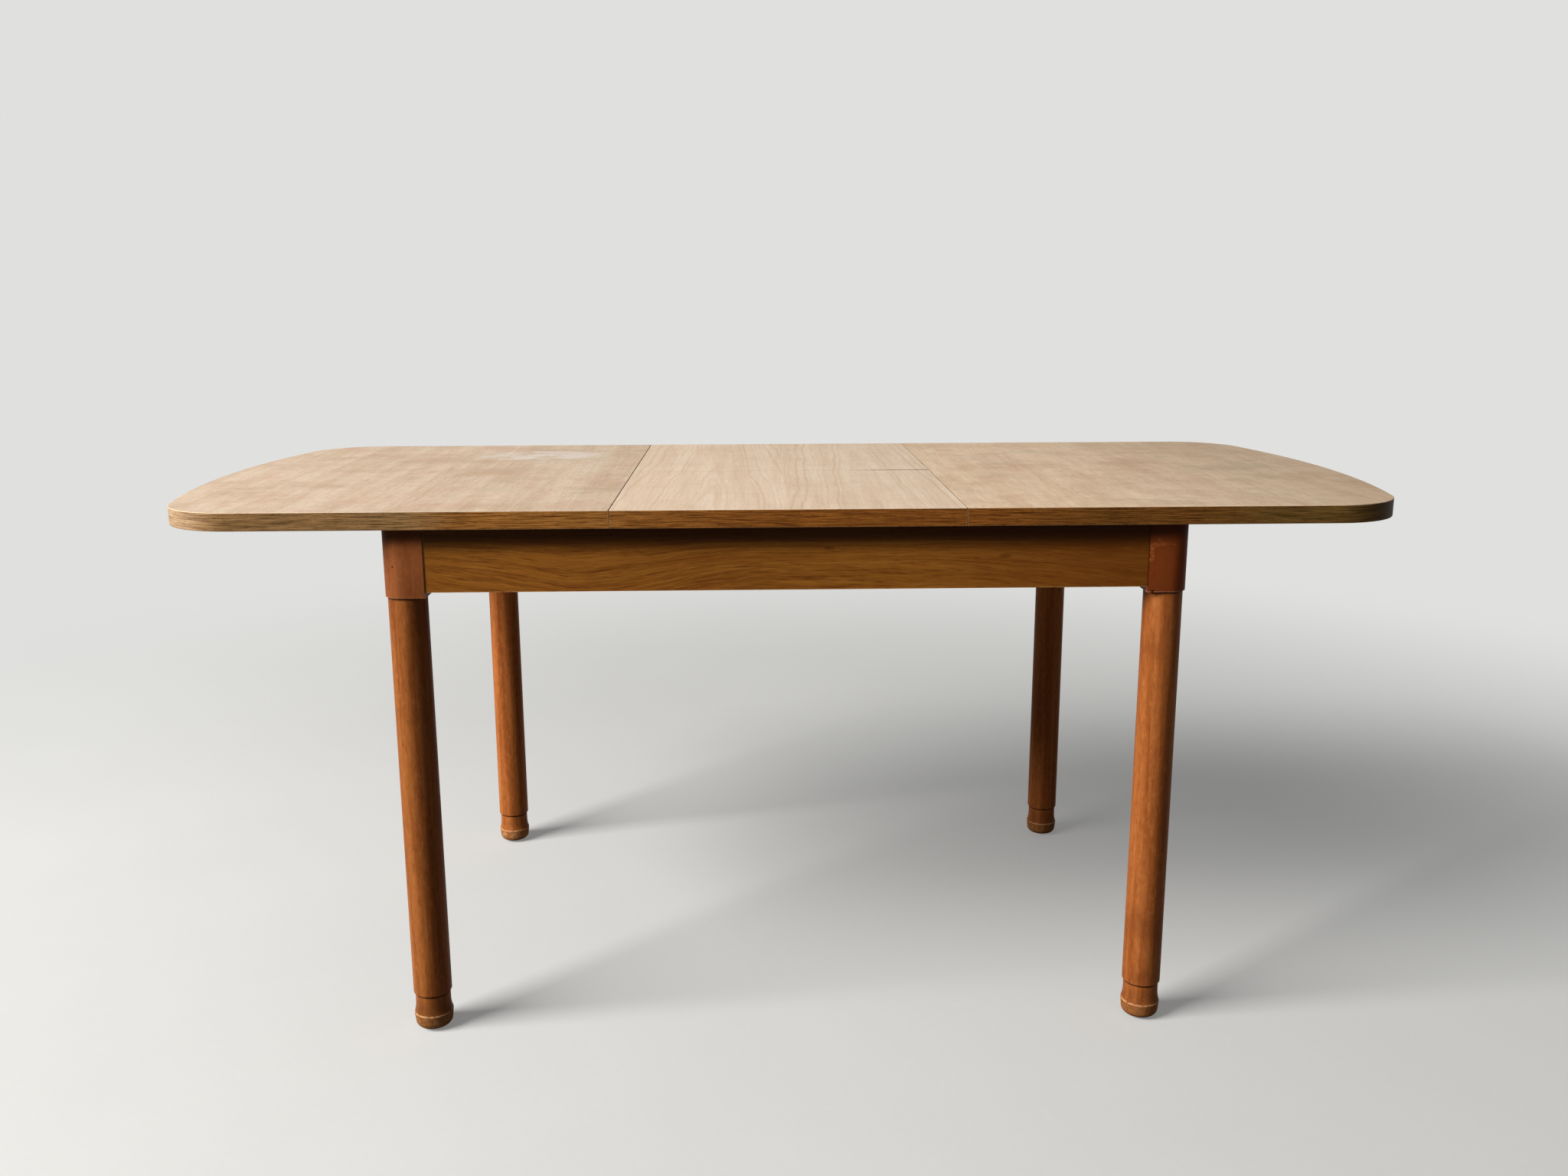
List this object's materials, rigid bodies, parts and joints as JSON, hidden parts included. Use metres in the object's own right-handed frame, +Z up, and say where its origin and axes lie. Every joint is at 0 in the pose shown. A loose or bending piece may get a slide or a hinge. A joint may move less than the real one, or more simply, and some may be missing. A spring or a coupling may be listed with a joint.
{
  "type": "extending dining table",
  "caption": "Extending dining table with two sliding half tops, a folding centre leaf, a skirted frame on round turned legs and a well that stows the leaf.",
  "frame": {"origin": "on the floor, under the middle of the table with its leaf in place", "axes": "+X along the table's length to the right, +Y from the front to the rear, +Z up"},
  "size_m": [1.696, 0.766, 0.74],
  "materials": {
    "top_veneer": "worn matt pale veneer, grain front to back",
    "leaf_veneer": "unfaded matt pale veneer, grain front to back",
    "edge_lipping": "satin mid brown edge veneer, grain along the edge",
    "board_core": "raw pressed wood particles",
    "apron_teak": "satin golden brown teak veneer, grain along the rail",
    "post_wood": "satin reddish brown stain",
    "leg_beech": "satin orange brown stained beech",
    "plain_beech": "unfinished planed beech",
    "plain_pine": "unfinished sawn softwood",
    "zinc_steel": "dull zinc plated steel",
    "hinge_brass": "satin brass"
  },
  "bodies": {
    "frame": {"bearer_blocks": "plain_pine", "bearer_screws": "zinc_steel", "block_screws": "zinc_steel", "bracket_screws": "zinc_steel", "foot_glides": "zinc_steel", "front_apron": "apron_teak", "front_guide": "plain_beech", "front_left_bracket": "zinc_steel", "front_left_leg": "leg_beech", "front_left_post": "post_wood", "front_right_bracket": "zinc_steel", "front_right_leg": "leg_beech", "front_right_post": "post_wood", "hanger_bolts": "zinc_steel", "hanger_nuts": "zinc_steel", "hanger_washers": "zinc_steel", "left_bearer": "plain_pine", "left_end_rail": "apron_teak", "rail_dowels": "plain_beech", "rear_apron": "apron_teak", "rear_guide": "plain_beech", "rear_left_bracket": "zinc_steel", "rear_left_leg": "leg_beech", "rear_left_post": "post_wood", "rear_right_bracket": "zinc_steel", "rear_right_leg": "leg_beech", "rear_right_post": "post_wood", "right_bearer": "plain_pine", "right_end_rail": "apron_teak"},
    "left_top": {"left_front_runner": "plain_beech", "left_rear_runner": "plain_beech", "left_runner_screws": "zinc_steel", "left_stop_pegs": "plain_beech", "left_top_core": "board_core", "left_top_lipping": "edge_lipping", "left_top_veneer": "top_veneer"},
    "right_top": {"right_front_runner": "plain_beech", "right_rear_runner": "plain_beech", "right_runner_screws": "zinc_steel", "right_stop_pegs": "plain_beech", "right_top_core": "board_core", "right_top_lipping": "edge_lipping", "right_top_veneer": "top_veneer"},
    "leaf_rear": {"leaf_rear_core": "board_core", "leaf_rear_hinge_barrels": "hinge_brass", "leaf_rear_hinge_links": "hinge_brass", "leaf_rear_hinge_pins": "hinge_brass", "leaf_rear_lipping": "edge_lipping", "leaf_rear_veneer": "leaf_veneer"},
    "leaf_front": {"leaf_front_core": "board_core", "leaf_front_hinge_barrels": "hinge_brass", "leaf_front_hinge_links": "hinge_brass", "leaf_front_hinge_pins": "hinge_brass", "leaf_front_lipping": "edge_lipping", "leaf_front_veneer": "leaf_veneer"}
  },
  "joints": [
    {"name": "left_top_slide", "type": "slide", "parent": "frame", "child": "left_top", "axis": [-1, 0, 0], "range_m": [0, 0.03]},
    {"name": "right_top_slide", "type": "slide", "parent": "frame", "child": "right_top", "axis": [1, 0, 0], "range_m": [0, 0.03]},
    {"name": "leaf_lift", "type": "slide", "parent": "frame", "child": "leaf_rear", "axis": [0, 0, 1], "range_m": [0, 0.15]},
    {"name": "leaf_fold", "type": "hinge", "parent": "leaf_rear", "child": "leaf_front", "pos_m": [0, 0, 0.74025], "axis": [-1, 0, 0], "range_deg": [0, 180]}
  ]
}
